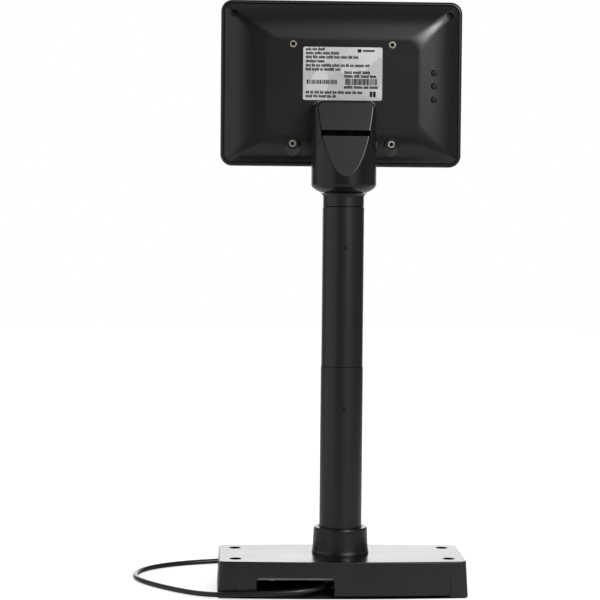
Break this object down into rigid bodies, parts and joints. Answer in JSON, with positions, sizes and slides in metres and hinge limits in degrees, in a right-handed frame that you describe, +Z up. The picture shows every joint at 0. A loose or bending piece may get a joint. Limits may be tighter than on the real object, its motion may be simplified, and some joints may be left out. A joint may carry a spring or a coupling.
{
  "type": "pos touchscreen terminal",
  "caption": "Countertop point-of-sale touchscreen on a straight sectional pole with a weighted base; the head swivels on the pole and tilts in a hinge.",
  "frame": {"origin": "centre of the base's four bolt holes, on the table plane", "axes": "+Z up along the pole, +Y out of the back of the head where its 75 mm pattern faces, so the screen faces -Y, +X to the right of someone who looks at the screen"},
  "size_m": [0.2496, 0.1506, 0.4432],
  "materials": {
    "base_plastic": "black ABS with a fine satin texture",
    "foot_rubber": "black rubber",
    "plate_steel": "zinc-plated steel plate",
    "fastener_steel": "zinc-plated steel",
    "black_screw": "black oxide steel",
    "collar_plastic": "semi-gloss black ABS",
    "spigot_steel": "plain steel",
    "pole_paint": "satin black powder coat",
    "nylon": "black nylon",
    "neck_plastic": "satin black ABS",
    "cover_plastic": "fine-textured black ABS",
    "bezel_plastic": "satin black ABS",
    "brass_insert": "knurled brass",
    "screen_glass": "dark touch glass, screen off",
    "lcd_metal": "stamped metal frame",
    "circuit_board": "green solder mask",
    "label_film": "silver polyester label",
    "button_plastic": "black ABS",
    "cable_jacket": "glossy black PVC jacket",
    "strap_fabric": "black hook-and-loop strap",
    "plug_plastic": "moulded black PVC",
    "plug_metal": "nickel-plated steel shell"
  },
  "bodies": {
    "stand": {"base_shell": "base_plastic", "base_feet": "foot_rubber", "ballast_plate": "plate_steel", "ballast_screws": "fastener_steel", "base_spigot": "spigot_steel", "flange_screws": "fastener_steel", "base_collar": "collar_plastic", "cable_clamp": "nylon", "clamp_screw": "fastener_steel", "lower_tube": "pole_paint", "tube_coupler": "spigot_steel", "upper_tube": "pole_paint", "tube_screws": "black_screw", "pivot_post": "pole_paint", "swivel_washers": "nylon", "swivel_nut": "fastener_steel", "pole_cable": "cable_jacket", "cord_lead": "cable_jacket", "cord_coil": "cable_jacket", "cord_tie": "strap_fabric", "cord_tail": "cable_jacket", "plug_body": "plug_plastic", "plug_shell": "plug_metal", "plug_contacts": "plug_plastic"},
    "neck": {"neck_housing": "neck_plastic", "tilt_bracket": "pole_paint", "bracket_screws": "fastener_steel", "neck_cable": "cable_jacket"},
    "head": {"hinge_cap": "neck_plastic", "cap_screws": "fastener_steel", "tilt_pins": "spigot_steel", "friction_washers": "nylon", "rear_cover": "cover_plastic", "front_bezel": "bezel_plastic", "case_screws": "black_screw", "vesa_inserts": "brass_insert", "touch_glass": "screen_glass", "lcd_module": "lcd_metal", "controller_board": "circuit_board", "key_board": "circuit_board", "board_screws": "fastener_steel", "rating_label": "label_film", "head_cable": "cable_jacket"},
    "menu_key": {"button_menu": "button_plastic"},
    "adjust_key": {"button_adjust": "button_plastic"},
    "power_key": {"button_power": "button_plastic"}
  },
  "joints": [
    {"name": "swivel", "type": "hinge", "parent": "stand", "child": "neck", "pos_m": [0, -0.004, 0.297], "axis": [0, 0, 1], "range_deg": [-165, 165]},
    {"name": "tilt", "type": "hinge", "parent": "neck", "child": "head", "pos_m": [0, -0.004, 0.3514], "axis": [-1, 0, 0], "range_deg": [-5, 30]},
    {"name": "menu_press", "type": "slide", "parent": "head", "child": "menu_key", "axis": [0, -1, 0], "range_m": [0, 0.0008], "stiffness_N_per_m": 400, "springref_m": -0.0005},
    {"name": "adjust_press", "type": "slide", "parent": "head", "child": "adjust_key", "axis": [0, -1, 0], "range_m": [0, 0.0008], "stiffness_N_per_m": 400, "springref_m": -0.0005},
    {"name": "power_press", "type": "slide", "parent": "head", "child": "power_key", "axis": [0, -1, 0], "range_m": [0, 0.0008], "stiffness_N_per_m": 400, "springref_m": -0.0005}
  ]
}
